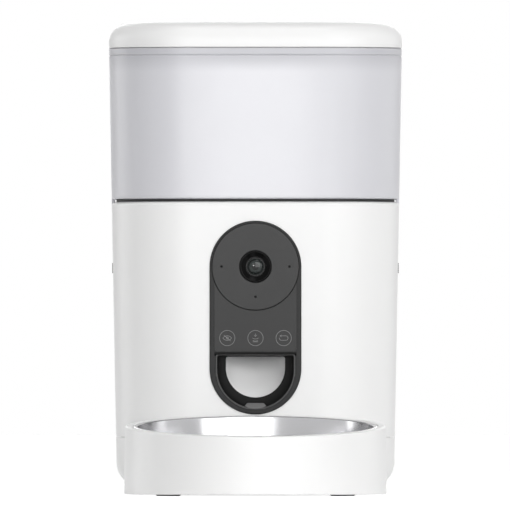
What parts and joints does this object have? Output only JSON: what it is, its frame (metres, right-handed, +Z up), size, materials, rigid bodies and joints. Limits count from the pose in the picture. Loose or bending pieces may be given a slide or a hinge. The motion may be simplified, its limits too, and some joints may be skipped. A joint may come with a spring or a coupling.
{
  "type": "camera pet feeder",
  "caption": "Upright dry-food pet feeder: translucent tank with lid over a white body, a dark pill panel with camera and outlet, and a steel bowl in a round holder at its foot.",
  "frame": {"origin": "middle of the whole feeder's footprint, bowl holder included, on the surface that it stands on", "axes": "+Z up, -Y the front with the bowl, +X to the right seen from the front"},
  "size_m": [0.1924, 0.3018, 0.31],
  "materials": {
    "white_plastic": "satin moulded, near-white",
    "clear_tank": "milky translucent, cool grey",
    "dark_plastic": "satin dark grey",
    "black_plastic": "satin black",
    "rubber": "matt dark rubber",
    "silicone": "matt pale silicone",
    "pale_plastic": "satin light grey",
    "steel": "polished stainless steel",
    "brass": "machined",
    "lens_glass": "coated lens glass",
    "circuit_board": "green solder mask",
    "nylon": "natural nylon"
  },
  "bodies": {
    "feeder_body": {"body_shell": "white_plastic", "tank_gasket": "rubber", "base_tray": "white_plastic", "body_foot_1": "rubber", "body_foot_2": "rubber", "body_foot_3": "rubber", "body_foot_4": "rubber", "base_screw_1": "steel", "base_screw_2": "steel", "base_screw_3": "steel", "base_screw_4": "steel", "chute": "pale_plastic", "rotor_cup": "white_plastic", "outlet_guard": "white_plastic", "rotor_bush": "brass", "drive_frame": "white_plastic", "drive_motor": "steel", "motor_screw_1": "steel", "motor_screw_2": "steel", "main_board": "circuit_board", "face_panel": "dark_plastic", "camera_disc": "dark_plastic", "touch_panel": "dark_plastic", "lens_ring": "black_plastic", "lens_barrel": "black_plastic", "lens_glass": "lens_glass", "camera_housing": "black_plastic", "camera_board": "circuit_board", "touch_board": "circuit_board", "outlet_frame": "black_plastic", "button_spring_left": "steel", "button_spring_right": "steel", "power_socket": "black_plastic", "rear_board": "circuit_board", "speaker_grille": "white_plastic", "speaker": "black_plastic"},
    "tank_unit": {"tank": "clear_tank"},
    "lid": {"lid_cover": "white_plastic", "lid_frame": "white_plastic", "lid_seal": "silicone", "desiccant_box": "white_plastic"},
    "desiccant_cap": {"desiccant_cover": "white_plastic"},
    "rotor": {"feed_rotor": "nylon", "rotor_shaft": "steel", "rotor_gear": "nylon"},
    "pinion": {"drive_pinion": "brass"},
    "button_left": {"release_button_left": "white_plastic", "finger_pad_left": "rubber"},
    "button_right": {"release_button_right": "white_plastic", "finger_pad_right": "rubber"},
    "reset": {"reset_button": "dark_plastic"},
    "holder": {"bowl_holder": "white_plastic", "holder_foot_1": "rubber", "holder_foot_2": "rubber", "holder_foot_3": "rubber", "holder_foot_4": "rubber"},
    "bowl": {"steel_bowl": "steel"}
  },
  "joints": [
    {"name": "tank_lift", "type": "slide", "parent": "feeder_body", "child": "tank_unit", "axis": [0, 0, 1], "range_m": [0, 0.06]},
    {"name": "lid_lift", "type": "slide", "parent": "tank_unit", "child": "lid", "axis": [0, 0, 1], "range_m": [0, 0.04]},
    {"name": "desiccant_cap_turn", "type": "hinge", "parent": "lid", "child": "desiccant_cap", "pos_m": [0, 0.0839, 0.273], "axis": [0, 0, 1], "range_deg": [0, 45]},
    {"name": "rotor_spin", "type": "hinge", "parent": "feeder_body", "child": "rotor", "pos_m": [0, 0.0919, 0.1], "axis": [0, 0, 1], "continuous": true},
    {"name": "pinion_spin", "type": "hinge", "parent": "feeder_body", "child": "pinion", "pos_m": [0, 0.1189, 0.09], "axis": [0, 0, 1], "continuous": true},
    {"name": "button_left_press", "type": "slide", "parent": "feeder_body", "child": "button_left", "axis": [1, 0, 0], "range_m": [0, 0.0025], "stiffness_N_per_m": 300, "springref_m": -0.004, "deforming": ["button_spring_left"]},
    {"name": "button_right_press", "type": "slide", "parent": "feeder_body", "child": "button_right", "axis": [-1, 0, 0], "range_m": [0, 0.0025], "stiffness_N_per_m": 300, "springref_m": -0.004, "deforming": ["button_spring_right"]},
    {"name": "reset_press", "type": "slide", "parent": "feeder_body", "child": "reset", "axis": [0, -1, 0], "range_m": [0, 0.001], "stiffness_N_per_m": 400, "springref_m": -0.0015},
    {"name": "holder_pull", "type": "slide", "parent": "feeder_body", "child": "holder", "axis": [0, -1, 0], "range_m": [0, 0.06]},
    {"name": "bowl_lift", "type": "slide", "parent": "holder", "child": "bowl", "axis": [0, -0.0812, 0.9967], "range_m": [0, 0.06]}
  ],
  "couplings": [
    {"joint": "pinion_spin", "follows": "rotor_spin", "ratio": -2}
  ]
}
